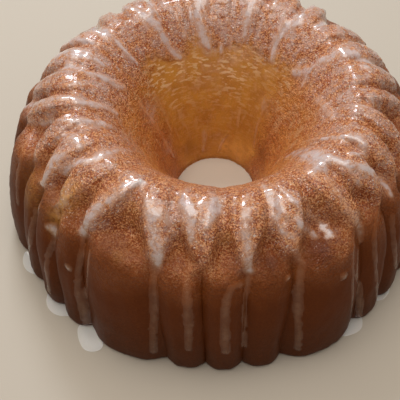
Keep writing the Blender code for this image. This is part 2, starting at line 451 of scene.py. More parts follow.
# %% Strokes that the camera sees
THICK_STROKES = {
    "back_left_one": [(80, 25, 4), (90, 27, 6), (103, 32, 10), (110, 37, 9), (120, 46, 6), (130, 57, 4),
        (137, 64, 3)],
    "back_left_patch": [(69, 55, 7), (77, 55, 9), (86, 56, 9), (96, 60, 6), (104, 66, 4)],
    "back_left_two": [(67, 66, 7), (75, 68, 5), (88, 73, 5), (100, 77, 5), (110, 82, 5), (118, 86, 7),
        (125, 89, 4)],
    "left_one": [(25, 108, 5), (33, 105, 7), (45, 101, 8), (57, 98, 6), (68, 98, 5), (78, 101, 6),
        (92, 105, 7), (105, 108, 7), (117, 114, 5)],
    "left_two": [(30, 122, 5), (44, 124, 5), (52, 121, 4), (65, 120, 5), (80, 122, 7), (92, 123, 8),
        (105, 125, 9), (112, 127, 6)],
    "left_patch": [(56, 138, 4), (62, 136, 6), (70, 135, 6), (76, 140, 8), (80, 147, 7)],
    "left_three": [(70, 150, 4), (62, 154, 7), (54, 160, 9), (50, 170, 7), (45, 178, 6), (43, 185, 5)],
    "left_four": [(132, 152, 4), (120, 150, 7), (108, 153, 8), (95, 159, 7), (82, 161, 7), (72, 166, 6),
        (63, 173, 6)],
    "front_left": [(145, 183, 5), (135, 184, 8), (127, 188, 10), (118, 194, 9), (108, 201, 9), (98, 208, 9),
        (90, 216, 9), (86, 224, 8), (83, 233, 6)],
    "left_low_patch": [(48, 226, 4), (53, 228, 8), (57, 234, 6)],
    "back_one": [(119, 10, 4), (128, 8, 7), (138, 11, 7), (146, 18, 7), (155, 24, 9), (160, 31, 8),
        (165, 41, 7), (171, 50, 6), (179, 57, 5)],
    "back_two": [(146, 0, 5), (150, 8, 5), (151, 16, 4)],
    "back_three": [(200, 0, 12), (199, 8, 12), (198, 18, 9), (201, 27, 7), (203, 35, 8), (206, 43, 7),
        (209, 48, 4)],
    "back_three_side": [(190, 8, 2), (191, 18, 3), (192, 27, 2)],
    "back_four": [(251, 0, 9), (250, 6, 9), (247, 16, 7), (246, 28, 5), (244, 40, 4)],
    "back_drop": [(221, 45, 2.5), (221, 52, 3.5)],
    "right_back_one": [(314, 6, 6), (309, 8, 7), (303, 14, 7), (297, 21, 8), (288, 26, 8), (281, 34, 8),
        (277, 43, 6), (274, 51, 7), (272, 60, 5)],
    "right_back_line": [(335, 32, 2), (339, 34, 3), (345, 39, 3), (353, 41, 3), (362, 43, 3),
        (367, 48, 2.5)],
    "right_back_two": [(359, 57, 7), (352, 53, 10), (342, 52, 12), (335, 54, 11), (328, 58, 9),
        (320, 61, 6)],
    "right_back_tail": [(314, 66, 3), (307, 76, 3), (302, 87, 3)],
    "right_back_patch": [(294, 73, 7), (301, 74, 10), (308, 72, 7)],
    "right_back_drop": [(363, 66, 4), (370, 69, 5)],
    "right_line": [(371, 98, 3), (373, 105, 3)],
    "right_one": [(322, 139, 4), (330, 138, 5), (340, 138, 6), (350, 136, 7), (358, 140, 8), (363, 145, 7),
        (364, 150, 5)],
    "right_one_drop": [(351, 154, 4), (358, 154, 6), (365, 155, 4)],
    "front_right": [(284, 159, 4), (292, 154, 8), (300, 153, 12), (312, 155, 15), (322, 159, 16),
        (331, 158, 12), (338, 160, 7)],
    "front_right_blob": [(321, 160, 14), (319, 166, 14), (316, 172, 10)],
    "right_line_two": [(349, 171, 2), (354, 177, 3), (359, 183, 3), (360, 188, 2)],
    "front_right_one": [(262, 185, 4), (268, 192, 8), (274, 200, 10), (280, 208, 10), (284, 213, 7)],
    "front_right_two": [(281, 189, 4), (287, 195, 5), (292, 201, 6), (297, 204, 7)],
    "front_one": [(146, 199, 8), (150, 207, 12), (153, 217, 12), (154, 229, 11), (156, 241, 12),
        (157, 252, 11), (158, 262, 8)],
    "front_one_side": [(172, 232, 5), (168, 238, 7), (165, 243, 5)],
    "front_two": [(184, 196, 8), (186, 203, 15), (190, 212, 14), (192, 222, 12), (191, 232, 8),
        (191, 240, 4)],
    "front_three": [(203, 204, 9), (210, 202, 13), (217, 202, 12), (213, 211, 13), (211, 220, 9),
        (206, 228, 6)],
    "front_four": [(246, 230, 7), (247, 240, 9), (247, 252, 10), (248, 262, 8), (249, 270, 7)],
}
THIN_STROKES = {
    "back_left_three": [(55, 88, 3), (64, 86, 5), (75, 83, 7), (85, 84, 6), (97, 88, 4)],
    "left_two_body": [(68, 126, 5), (80, 127, 7), (92, 129, 6)],
    "back_sparkle": [(141, 22, 5), (150, 30, 5), (157, 39, 4)],
    "back_top": [(205, 1, 4), (216, 2, 4), (228, 1, 4)],
    "back_patch": [(210, 18, 6), (215, 19, 6)],
    "right_back_three": [(297, 1, 4), (291, 7, 4), (287, 12, 3)],
    "right_back_four": [(324, 34, 7), (330, 35, 5)],
    "right_back_five": [(345, 73, 4), (353, 71, 4)],
    "right_two": [(354, 106, 5), (364, 106, 7), (371, 106, 4)],
    "right_long": [(325, 175, 6), (330, 183, 7), (335, 191, 7), (340, 198, 8), (346, 206, 8), (352, 214, 7),
        (357, 222, 8), (360, 232, 8)],
    "front_four_top": [(246, 196, 10), (246, 207, 12), (246, 219, 12), (246, 230, 9)],
    "front_one_left": [(160, 206, 5), (166, 214, 7), (168, 224, 7)],
    "front_one_top": [(139, 184, 6), (143, 191, 9), (147, 200, 11), (150, 208, 11)],
    "front_left_haze": [(132, 176, 8), (124, 184, 13), (112, 194, 15), (102, 204, 14), (94, 213, 11)],
    "left_yellow": [(68, 182, 4), (67, 190, 5), (66, 198, 5), (64, 206, 4)],
    "left_yellow_two": [(57, 210, 3), (59, 216, 5), (61, 221, 3)],
    "right_patch": [(315, 97, 5), (321, 104, 11), (328, 112, 11), (332, 119, 6)],
    "right_arc": [(272, 168, 3), (280, 158, 4), (292, 151, 4)],
    "right_arc_two": [(286, 151, 3), (300, 143, 4), (318, 138, 4)],
    "back_haze_line": [(228, 20, 4), (230, 32, 4), (231, 44, 3)],
    "back_haze_line_two": [(176, 12, 4), (180, 26, 5), (186, 38, 4)],
    "front_ripple_one": [(276, 184, 4), (284, 190, 4), (292, 198, 4), (300, 205, 5)],
    "front_ripple_two": [(296, 206, 4), (306, 212, 5), (316, 219, 5), (325, 226, 5)],
    "front_ripple_three": [(286, 211, 4), (295, 216, 6), (304, 224, 6), (310, 231, 5)],
    "front_ripple_four": [(196, 238, 3), (205, 248, 4), (209, 260, 3)],
    "front_ripple_five": [(330, 200, 3), (337, 212, 3), (342, 224, 3)],
}
BODY_STROKES = {
    "front_right_wide": [(277, 212, 11), (277, 222, 14), (282, 231, 14), (291, 236, 10)],
    "right_three": [(334, 160, 9), (343, 163, 11), (352, 165, 12), (363, 168, 13), (372, 173, 12),
        (380, 180, 11), (387, 188, 9), (391, 195, 7)],
    "front_right_three": [(296, 221, 6), (303, 226, 11), (309, 231, 12), (315, 236, 9)],
    "front_right_four": [(320, 225, 6), (326, 229, 10), (331, 234, 9), (326, 237, 6)],
}
SIDE_RUNS = {
    "left_far": [(33, 128, 4), (27, 143, 5), (22, 157, 5), (18, 172, 4), (17, 187, 3), (18, 205, 3)],
    "left_back": [(40, 205, 6), (36, 215, 7), (32, 228, 6), (30, 240, 4), (29, 250, 3)],
    "left_middle": [(57, 236, 6), (52, 245, 6), (48, 255, 6), (46, 265, 6), (47, 275, 5), (48, 285, 4),
        (49, 292, 4)],
    "left_front": [(84, 236, 7), (83, 247, 6), (80, 262, 5), (78, 275, 6), (77, 290, 6), (80, 302, 6),
        (84, 315, 8), (89, 329, 8)],
    "left_front_two": [(90, 250, 4), (88, 262, 5), (87, 275, 5), (86, 290, 5), (85, 305, 5), (87, 318, 6)],
    "front_one": [(158, 250, 10), (156, 262, 9), (154, 275, 8), (154, 290, 9), (154, 305, 9), (154, 320, 8),
        (153, 335, 6), (154, 352, 6)],
    "front_two": [(191, 234, 6), (190, 245, 6), (189, 262, 7), (187, 277, 8), (187, 292, 8), (188, 305, 9),
        (189, 320, 9), (189, 335, 7), (188, 350, 6)],
    "front_four": [(249, 262, 7), (249, 272, 7), (248, 283, 7), (246, 293, 5)],
    "front_four_thin": [(246, 290, 4), (245, 300, 5), (244, 315, 5), (244, 345, 5)],
    "front_four_branch": [(247, 284, 7), (238, 284, 7), (231, 288, 7), (227, 297, 8), (225, 310, 9),
        (225, 325, 9), (225, 340, 8), (226, 352, 7)],
    "front_right": [(291, 236, 8), (297, 243, 8), (298, 255, 8), (302, 264, 8), (300, 275, 9),
        (298, 290, 9), (298, 305, 9), (298, 320, 8), (299, 335, 6), (298, 350, 5)],
    "right_front": [(360, 232, 7), (359, 242, 6), (358, 260, 6), (357, 275, 6), (359, 290, 6),
        (360, 305, 6), (359, 316, 6)],
    "right_front_thin": [(354, 235, 2.5), (353, 260, 2.5), (353, 290, 2.5), (351, 318, 2.5)],
    "right_middle": [(378, 210, 4), (376, 222, 3), (374, 240, 4), (375, 255, 4), (376, 270, 3),
        (377, 285, 3), (377, 297, 3)],
    "right_back": [(392, 215, 4), (393, 235, 4), (395, 255, 4), (396, 268, 4)],
}
FUNNEL_RUNS = {
    "funnel_left": [(140, 103, 6), (148, 115, 6), (156, 125, 7), (162, 137, 7), (168, 147, 6),
        (174, 156, 5)],
    "funnel_back": [(205, 128, 7), (204, 140, 7), (203, 150, 6)],
    "funnel_back_two": [(228, 133, 3), (222, 141, 4), (218, 152, 4)],
    "funnel_right": [(265, 97, 5), (262, 112, 5), (256, 130, 5), (254, 146, 4)],
}
DROPS = {
    "crest": (140, 181, 7, 1.3), "left": (68, 267, 6, 0.6), "front": (279, 246, 6, 0.45),
    "front_low": (288, 277, 6, 0.45), "front_small": (158, 259, 3, 0.8), "right": (343, 276, 7, 0.4),
    "ripple_one": (304, 226, 7, 1.0), "ripple_one_end": (312, 233, 9, 1.0), "ripple_two": (328, 231, 8, 1.0),
    "back": (379, 71, 4, 0.7),
}
STROKE_GROUPS = (THICK_STROKES, THIN_STROKES, BODY_STROKES, SIDE_RUNS, FUNNEL_RUNS)
print("strokes:", sum(len(group) for group in STROKE_GROUPS), "drops:", len(DROPS))


# %% From pixels to the crust
PATH_STEP = 0.8


def spot_at(x, y):
    """Spot on the crust behind a pixel and the size of a pixel there, or nothing where the pixel misses."""
    start, line = sight_line(x, y)
    spot, _, _, away = crust_tree.ray_cast(start, line)
    return None if spot is None else (spot, away / FOCAL_PIXELS)


def follow(points):
    """Spots along a path of (x, y, width) pixels, each with half its width in metres."""
    found = []
    for (x0, y0, w0), (x1, y1, w1) in zip(points, points[1:]):
        count = max(1, math.ceil(math.hypot(x1 - x0, y1 - y0) / PATH_STEP))
        for i in range(count + 1):
            f = i / count
            hit = spot_at(x0 + (x1 - x0) * f, y0 + (y1 - y0) * f)
            if hit:
                found.append((hit[0], (w0 + (w1 - w0) * f) * hit[1] / 2.0))
    return found


print("first stroke:", len(follow(THICK_STROKES["back_left_one"])), "spots")

# %% [markdown]
# Glaze has no straight edge, and it ran off a little here and there. Two noises give that. One moves the edge
# of every stroke out and in, and a slower one thins the glaze.

# %% Ragged edges and gaps
EDGE_WAVES = ((170.0, 0.55), (480.0, 0.40), (1100.0, 0.25))
GAP_WAVES, GAP_LEAST, GAP_MIDDLE, GAP_SIZE = 120.0, 0.7, 0.95, 0.8

net_flat = net_spots.reshape(-1, 3)


def ragged(spot):
    """Share by which the edge of a stroke moves out or in at a spot."""
    return 1.0 + sum(size * noise.noise(spot * waves) for waves, size in EDGE_WAVES)


def gap(spot):
    """Share of the glaze that stayed at a spot."""
    return min(1.0, max(GAP_LEAST, GAP_MIDDLE + GAP_SIZE * noise.noise(spot * GAP_WAVES)))


net_ragged = [ragged(Vector(spot)) for spot in net_flat]
net_gaps = [gap(Vector(spot)) for spot in net_flat]
print("edges move by %.2f to %.2f" % (min(net_ragged), max(net_ragged)))

# %% [markdown]
# Each stroke is now pressed into the net. Where it passes, it leaves a thickness and a density. A thick
# stroke also gets a thin skirt, because it spread a little. The highest stroke wins where two cross.

# %% Pour the strokes on the net
THICK, BODY, THIN, RUN, DROP, SKIRT = 0.00070, 0.00055, 0.00032, 0.00028, 0.0011, 0.00016
DENSITY = {"thick": 0.64, "body": 0.62, "thin": 0.34, "run": 0.15, "funnel": 0.30, "skirt": 0.22}
THICK_WIDENING, SKIRT_WIDENING = 1.45, 1.9
EDGE_REACH = 1.7
EDGE_ROUNDING, EDGE_FADING = 3, 2.5
GAP_HOLDS = 0.4
DROP_LENGTH = 0.5

thickness = np.zeros(NET_ROWS * NET_TURNS)
density = np.zeros(NET_ROWS * NET_TURNS)
net_tree = KDTree(len(net_flat))
for index, spot in enumerate(net_flat):
    net_tree.insert(spot, index)
net_tree.balance()


def pour(path, height, dense, widening=1.0):
    """Raises the net along a path of (spot, half width)."""
    for centre, half in path:
        reach = half * widening
        for _, index, away in net_tree.find_range(centre, reach * EDGE_REACH):
            share = away / (reach * net_ragged[index])
            if 0.0 <= share < 1.0:
                raised = height * (1.0 - share ** EDGE_ROUNDING)
                raised *= GAP_HOLDS + (1.0 - GAP_HOLDS) * net_gaps[index]
                thickness[index] = max(thickness[index], raised)
                faded = dense * (1.0 - share ** EDGE_FADING) * net_gaps[index]
                density[index] = max(density[index], faded)


def pour_thick(path):
    """A thick stroke with a thin skirt round it."""
    pour(path, SKIRT, DENSITY["skirt"], SKIRT_WIDENING)
    pour(path, THICK, DENSITY["thick"], THICK_WIDENING)


for points in THICK_STROKES.values():
    pour_thick(follow(points))
for strokes, height, kind in ((THIN_STROKES, THIN, "thin"), (BODY_STROKES, BODY, "body"),
                              (SIDE_RUNS, RUN, "run"), (FUNNEL_RUNS, RUN, "funnel")):
    for points in strokes.values():
        pour(follow(points), height, DENSITY[kind])
for x, y, width, dense in DROPS.values():
    pour(follow([(x, y, width), (x + DROP_LENGTH, y + DROP_LENGTH, width)]), DROP, dense)
print("net points under the strokes in view:", int((thickness > 0).sum()))

# %% [markdown]
# Away from the camera the glaze follows a rule with a fixed seed: a thick stroke on most ridges, and below
# about half of them a thin run down the groove. Its angles are in degrees and its widths in metres.

# %% Strokes on the far side
BACK_SEED = 5
BACK_FIRST, BACK_LAST, BACK_STEP = 104.0, 262.0, 8.6
BACK_SPACING = (0.7, 1.3)
BACK_TOPS, BACK_BOTTOMS = (70, 96), (34, 56)
BACK_WIDTHS, BACK_DRIFTS = (0.0035, 0.0062), (-2, 2)
RUN_CHANCE, RUN_FEET = 0.55, [-22, -10, 4]
RUN_WIDTHS, RUN_DRIFT, RUN_OVERLAP = (0.003, 0.0045), 0.5, 3
PATH_PARTS = 60
BEND = 2.4
WOBBLE, WOBBLE_WAVES = 0.6, 6.0
TAPER_START, TAPER_LENGTH = 0.12, 0.8


def side_path(angle, top, bottom, width, drift):
    """Spots down the outer side between two tilts, all in degrees, with half the width in metres."""
    path = []
    for i in range(PATH_PARTS + 1):
        f = i / PATH_PARTS
        wobble = WOBBLE * noise.noise(Vector((angle, WOBBLE_WAVES * f, 0.0)))
        turn = angle + drift * math.sin(BEND * f + angle) + wobble
        spot, _ = cast_from_core(math.radians(turn), math.radians(top + (bottom - top) * f))
        if spot:
            path.append((spot, width * math.sin(math.pi * (TAPER_START + TAPER_LENGTH * f)) / 2.0))
    return path


chance = random.Random(BACK_SEED)
back_angle = BACK_FIRST
while back_angle < BACK_LAST:
    top, bottom = chance.uniform(*BACK_TOPS), chance.uniform(*BACK_BOTTOMS)
    pour_thick(side_path(back_angle, top, bottom, chance.uniform(*BACK_WIDTHS), chance.uniform(*BACK_DRIFTS)))
    if chance.random() < RUN_CHANCE:
        foot = chance.choice(RUN_FEET)
        run = side_path(back_angle, bottom + RUN_OVERLAP, foot, chance.uniform(*RUN_WIDTHS), RUN_DRIFT)
        pour(run, RUN, DENSITY["run"])
    back_angle += BACK_STEP * chance.uniform(*BACK_SPACING)
print("net points under glaze: %d of %d" % ((thickness > 0).sum(), thickness.size))

# %% [markdown]
# Around the strokes the thin glaze dried to a pinkish film that dulls the brown and shines. It lies over most
# of the top, more to the back than to the front, and some places stayed clean. In other places pale yellow
# batter shows. The grooves are painted darker as painted shade, and a few spots are darker, partly from
# baking and partly as painted shade. Each is kept as a value on the net, from 0 to 1. A spot is a pixel, a
# radius in pixels and a strength.

# %% Spots of film, batter and browning
FILM_SPOTS = [(210, 192, 42, 0.2), (160, 190, 16, 0.1), (92, 85, 30, 0.1), (88, 160, 22, 0.1),
    (95, 225, 16, 0.2), (240, 25, 60, 0.2), (340, 105, 28, 0.35), (167, 222, 11, 0.6), (247, 216, 13, 0.45),
    (300, 205, 20, 0.25), (150, 112, 16, 0.5), (168, 148, 12, 0.4), (130, 142, 20, 0.5),
    (168, 204, 18, 0.4), (195, 215, 14, 0.35), (365, 172, 12, 0.3), (268, 105, 14, 0.2),
    (215, 70, 20, 0.12), (57, 205, 16, 0.2), (130, 180, 14, 0.3), (110, 165, 16, 0.25)]
CLEAN_SPOTS = [(100, 50, 14, 0.5), (42, 150, 14, 0.7), (135, 222, 14, 0.9), (177, 247, 10, 0.9),
    (315, 197, 13, 0.3), (366, 190, 12, 0.6), (342, 146, 8, 0.8), (95, 134, 8, 0.8), (122, 78, 14, 0.6),
    (328, 77, 13, 0.7), (232, 218, 10, 0.6), (118, 254, 20, 0.8), (80, 76, 9, 0.8)]
YELLOW_SPOTS = [(130, 218, 13, 0.12), (180, 250, 8, 0.1), (228, 238, 12, 0.12), (320, 202, 13, 0.12),
    (66, 194, 19, 0.8), (62, 205, 14, 0.5), (59, 216, 13, 0.7), (28, 188, 30, 0.24), (118, 256, 9, 0.16),
    (238, 150, 15, 1.0), (224, 146, 9, 0.8), (251, 151, 8, 0.8), (240, 55, 16, 0.3), (53, 230, 6, 0.6),
    (132, 205, 7, 0.25), (225, 241, 10, 0.16)]
# Darker spots: some baked darker, and some on the shoulders are painted shade.
BROWNED_AND_SHADED_SPOTS = [(325, 250, 24, 0.9), (118, 252, 22, 0.5), (366, 190, 16, 0.15), (80, 76, 8, 0.35),
    (262, 155, 14, 0.6), (190, 148, 12, 0.5), (270, 266, 17, 0.7)]
PATCH_REACH, PATCH_FALL = 1.6, 2.0


def spread_spots(field, spots, clean=False):
    """Adds round patches of (x, y, radius, strength) pixels to a field, or cleans them out of it."""
    for x, y, radius, strength in spots:
        centre, pixel = spot_at(x, y)
        for _, index, away in net_tree.find_range(centre, radius * pixel * PATCH_REACH):
            fall = strength * math.exp(-PATCH_FALL * (away / (radius * pixel)) ** 2)
            field[index] = field[index] * (1.0 - fall) if clean else field[index] + fall


print("spots:", len(FILM_SPOTS), len(CLEAN_SPOTS), len(YELLOW_SPOTS), len(BROWNED_AND_SHADED_SPOTS))

# %% [markdown]
# The film isn't even. It ran in streaks across the crest, lies thinner in the grooves than on the ridges and
# is strongest close to the strokes. The grooves are found by comparing the net with a much smoother one.

# %% Film on the net
FILM_FRONT, FILM_BACK = 0.08, 0.36
FILM_HEIGHTS, FILM_DEPTHS, FILM_MOST = (0.062, 0.080), (-0.085, 0.02), 0.75
STREAK_ROUND, STREAK_ALONG = 26.0, 0.083
STREAK_FINE, STREAK_FINE_SHARE = 2.3, 0.5
STREAK_STRENGTH, STREAK_LIMITS = 1.5, (0.15, 2.0)
FLUTE_BLUR, FLUTE_DEPTH, FLUTE_HEIGHTS = 40, 0.0008, (0.064, 0.076)
FLUTE_FILM, GROOVE_SHADE = 0.7, 0.22
NEAR_BLUR, NEAR_STRENGTH, NEAR_HEIGHTS = 20, 1.3, (0.060, 0.078)


def ramp_of(values, low, high):
    """Smooth ramp of an array between two limits."""
    t = np.clip((values - low) / (high - low), 0.0, 1.0)
    return t * t * (3.0 - 2.0 * t)


def streak(row, turn):
    """Noise drawn out across the crest, the way the glaze ran; it closes on itself round the cake."""
    angle = 2 * math.pi * turn / NET_TURNS
    ring = Vector((math.cos(angle) * STREAK_ROUND, math.sin(angle) * STREAK_ROUND, row * STREAK_ALONG))
    return noise.noise(ring) + STREAK_FINE_SHARE * noise.noise(ring * STREAK_FINE)


def hollows():
    """How deep each net point lies between its neighbours: 1 in the grooves of the top, -1 on its ridges."""
    angles = np.arange(NET_TURNS) * 2 * math.pi / NET_TURNS
    core_x, core_y = CORE_RADIUS * np.sin(angles), -CORE_RADIUS * np.cos(angles)
    core = np.stack([core_x, core_y, np.full(NET_TURNS, CORE_HEIGHT)], axis=1)
    away = np.linalg.norm(net_spots - core, axis=2)
    return np.clip((blurred(away, FLUTE_BLUR) - away).reshape(-1) / FLUTE_DEPTH, -1.0, 1.0)


heights, depths = net_flat[:, 2], net_flat[:, 1]
hollow = hollows() * ramp_of(heights, *FLUTE_HEIGHTS)
film_base = FILM_FRONT + (FILM_BACK - FILM_FRONT) * ramp_of(depths, *FILM_DEPTHS)
film = ramp_of(heights, *FILM_HEIGHTS) * film_base
streaks = np.array([streak(row, turn) for row in range(NET_ROWS) for turn in range(NET_TURNS)])
film *= np.clip(1.0 + STREAK_STRENGTH * streaks - FLUTE_FILM * hollow, *STREAK_LIMITS)
spread_spots(film, FILM_SPOTS)
spread_spots(film, CLEAN_SPOTS, clean=True)
near_glaze = blurred(density.reshape(NET_ROWS, NET_TURNS), NEAR_BLUR).reshape(-1)
film = np.clip(film + NEAR_STRENGTH * near_glaze * ramp_of(heights, *NEAR_HEIGHTS), 0.0, FILM_MOST)
print("film %.2f on average" % film.mean())

# %% Batter, browning and painted groove shade on the net
yellow = np.zeros(len(net_flat))
spread_spots(yellow, YELLOW_SPOTS)
yellow = np.clip(yellow, 0.0, 1.0)
# Painted shade: the grooves of the top are painted darker.
browning_and_shade = GROOVE_SHADE * np.clip(hollow, 0.0, 1.0)
spread_spots(browning_and_shade, BROWNED_AND_SHADED_SPOTS)
print("yellow %.3f and browned %.3f on average" % (yellow.mean(), browning_and_shade.mean()))

# %% [markdown]
# The materials read these values from the mesh, so each point of the crust takes those of the net's nearest
# point.

# %% Store them on the crust
STORED = {"film": film, "yellow": yellow, "browning_and_shade": browning_and_shade}


def store(piece, name, values):
    """Keeps one value for each point of a piece."""
    layer = piece.data.attributes.new(name, "FLOAT", "POINT")
    layer.data.foreach_set("value", np.asarray(values, dtype=np.float32))


nearest = [net_tree.find(vertex.co)[1] for vertex in crust.data.vertices]
for name, values in STORED.items():
    store(crust, name, values[nearest])
print("points of the crust:", len(nearest))

# %% [markdown]
# The raised part of the net becomes a mesh. Its rim dips just under the crust, so no gap shows, and a
# Solidify gives it an underside inside the crust, which closes it.

# %% The glaze's mesh
RIM_DIP = 0.0002
GLAZE_UNDERSIDE = 0.0006
WET_LIMIT = 0.00004


def glaze_piece(name):
    """Closed skin of glaze from the net's raised points."""
    raised = blurred(thickness.reshape(NET_ROWS, NET_TURNS), 1)
    dense = blurred(density.reshape(NET_ROWS, NET_TURNS), 1)
    wet = raised > WET_LIMIT
    cells = wet[:-1] | wet[1:]
    cells = cells | np.roll(cells, -1, axis=1)
    rows, turns = np.nonzero(cells)
    nexts = (turns + 1) % NET_TURNS
    corners = np.stack([rows * NET_TURNS + turns, rows * NET_TURNS + nexts,
                        (rows + 1) * NET_TURNS + nexts, (rows + 1) * NET_TURNS + turns], axis=1)
    used, faces = np.unique(corners, return_inverse=True)
    lift = np.where(wet, raised, -RIM_DIP).reshape(-1, 1)
    skin = (net_flat + net_normals.reshape(-1, 3) * lift)[used]
    mesh = bpy.data.meshes.new(name)
    mesh.from_pydata(skin.tolist(), [], faces.reshape(-1, 4).tolist())
    piece = new_piece(name, mesh)
    store(piece, "milkiness", dense.reshape(-1)[used])
    for kind, values in STORED.items():
        store(piece, kind, values[used])
    apply_modifier(piece, "SOLIDIFY", thickness=GLAZE_UNDERSIDE, offset=-1.0)
    bpy.ops.object.shade_smooth()
    return piece


glaze = glaze_piece("glaze")
print("glaze: %d faces" % len(glaze.data.polygons))

# %% [markdown]
# The crust isn't one brown. Where the dough met the tin's side it is dark and reddish, and painted shade
# makes the side darker still, most at the foot. On the crest it is orange-brown and full of fine pores, the
# shoulders are golden brown made darker by painted shade, and the funnel is smoother and golden. Each colour
# has the name of what it shows.

# %% The crust's colours
AMBER, DEEP_AMBER = srgb(208, 147, 60), srgb(188, 125, 50)
ORANGE_BROWN, RED_BROWN = srgb(198, 118, 60), srgb(180, 94, 46)
# The second pale colour is a painted highlight on torn crumb in the funnel.
PALE_CRUMB, TORN_CRUMB_HIGHLIGHT = srgb(240, 176, 124), srgb(240, 204, 156)
RUN_MARK = srgb(222, 172, 122)
# Painted highlight: the near-white colour of tiny glints painted on the top.
PAINTED_GLINT = srgb(240, 222, 212)
PORE_BROWN = srgb(140, 64, 28)
# Painted shade: the shoulders' golden brown is painted darker for the shade that falls on them.
SHOULDER_SHADE_BROWN = srgb(142, 71, 20)
# Painted shade: the side's browns are its own dark crust darkened further, most of all at the foot.
SIDE_BROWN_AND_SHADE, SIDE_LIGHT, FOOT_SHADE_BROWN = srgb(96, 46, 17), srgb(122, 62, 23), srgb(74, 36, 14)
# Darkening colour for the darker-baked spots and the painted shade in the grooves.
DARK_BAKE_AND_SHADE = srgb(172, 148, 122)
BATTER_YELLOW = srgb(238, 174, 88)
FILM_PINK = srgb(208, 170, 156)
print("foot brown is", [round(v, 3) for v in FOOT_SHADE_BROWN[:3]])

# %% [markdown]
# A spot's colour depends on where it lies. Its height and its distance from the middle come from Object
# coordinates, and a slow noise makes the borders between top, side and funnel wander. A ramp is given by
# where it starts and ends and, where it doesn't go from 0 to 1, by what it goes from and to.

# %% Where a spot lies on the cake
BORDER_WAVES, BORDER_WANDER = 55.0, 0.024
OUTSIDE = (0.085, 0.103)
SHOULDER_SHADE_HEIGHTS = (0.078, 0.064, 0.0, 0.85)
SIDE_HEIGHTS = (0.074, 0.046)
FUNNEL_REACH = (0.060, 0.048)
FAR_WALL = (0.30, 0.80, 0.25, 1.0)


def crust_places(recipe):
    """Height and distance from the middle, and how far a spot is shoulder, side and funnel."""
    x, y, z = recipe.add("ShaderNodeSeparateXYZ", Vector=recipe.place).outputs
    flat = recipe.add("ShaderNodeCombineXYZ", X=x, Y=y).outputs[0]
    away = recipe.add("ShaderNodeVectorMath", operation="LENGTH", _0=flat).outputs["Value"]
    wander = recipe.math("MULTIPLY_ADD", recipe.noise(BORDER_WAVES, 3.0), BORDER_WANDER, -BORDER_WANDER / 2)
    height, reach = recipe.math("ADD", z, wander), recipe.math("ADD", away, wander)
    outside = recipe.ramp(reach, *OUTSIDE)
    shoulder = recipe.times(outside, recipe.ramp(height, *SHOULDER_SHADE_HEIGHTS))
    side = recipe.times(outside, recipe.ramp(height, *SIDE_HEIGHTS))
    facing = recipe.ramp(recipe.math("DIVIDE", y, away), *FAR_WALL)
    funnel = recipe.times(recipe.ramp(reach, *FUNNEL_REACH), facing)
    return SimpleNamespace(x=x, y=y, z=z, away=away, height=height, reach=reach,
                           shoulder=shoulder, side=side, funnel=funnel)


print("side from %.0f mm down" % (1000 * SIDE_HEIGHTS[0]))

# %% [markdown]
# The top is speckled crumb. A fine grain of small cells and noise gives light and dark specks, and the hollow
# middles of larger cells give pores. The side touched the tin and is almost plain; its brown is its own dark
# crust with painted shade over it, darker towards the foot.

# %% The top and the side
GRAIN_CELLS, GRAIN_WAVES, CELL_SHARE = 1500.0, 1150.0, 0.20
PORE_CELLS, PORES = 620.0, (0.28, 0.12, 0.0, 0.35)
SPECKLED_HEIGHTS = (0.050, 0.076, 0.35, 1.0)
LIGHT_SPECKS, DARK_SPECKS = (0.50, 0.60), (0.47, 0.39)
TOP_BLOTCHES = (0.35, 0.65)
FOOT_SHADE_HEIGHTS, SIDE_GRAIN = (0.045, 0.0), (0.35, 0.75, 0.0, 0.4)


def crumb_grain(recipe):
    """Fine grain of the crumb, from small cells and a sharp noise."""
    cells = recipe.add("ShaderNodeTexVoronoi", Vector=recipe.place, Scale=GRAIN_CELLS).outputs["Color"]
    cells = recipe.add("ShaderNodeSeparateColor", Color=cells).outputs[0]
    sharp = recipe.times(recipe.noise(GRAIN_WAVES, 3.0, 0.7), 1.0 - CELL_SHARE)
    return recipe.math("MULTIPLY_ADD", cells, CELL_SHARE, sharp)


def top_colour(recipe, where, grain, blotch):
    """Orange-brown crumb with light specks, dark specks and pores, and darker shoulders with painted shade.
    """
    speckled = recipe.ramp(where.height, *SPECKLED_HEIGHTS)
    top = recipe.mix(recipe.ramp(blotch, *TOP_BLOTCHES), ORANGE_BROWN, RED_BROWN)
    top = recipe.mix(recipe.times(recipe.ramp(grain, *LIGHT_SPECKS), speckled), top, PALE_CRUMB)
    top = recipe.mix(recipe.times(recipe.ramp(grain, *DARK_SPECKS), speckled), top, PORE_BROWN)
    pores = recipe.add("ShaderNodeTexVoronoi", Vector=recipe.place, Scale=PORE_CELLS).outputs["Distance"]
    top = recipe.mix(recipe.times(recipe.ramp(pores, *PORES), speckled), top, PORE_BROWN)
    return recipe.mix(where.shoulder, top, SHOULDER_SHADE_BROWN)


def side_colour_and_shade(recipe, where, grain):
    """Dark side crust with painted shade, darkest at the foot."""
    side = recipe.mix(recipe.ramp(where.height, *FOOT_SHADE_HEIGHTS), SIDE_BROWN_AND_SHADE, FOOT_SHADE_BROWN)
    return recipe.mix(recipe.ramp(grain, *SIDE_GRAIN), side, SIDE_LIGHT)


print("grain: %.0f cells and %.0f waves a metre" % (GRAIN_CELLS, GRAIN_WAVES))

# %% [markdown]
# The funnel is golden, with short pale dashes of torn crumb, painted as highlights where it catches the
# light.
# Faint pale marks show where glaze ran down into it; they follow the angle round the middle, so that they
# point to the hole.

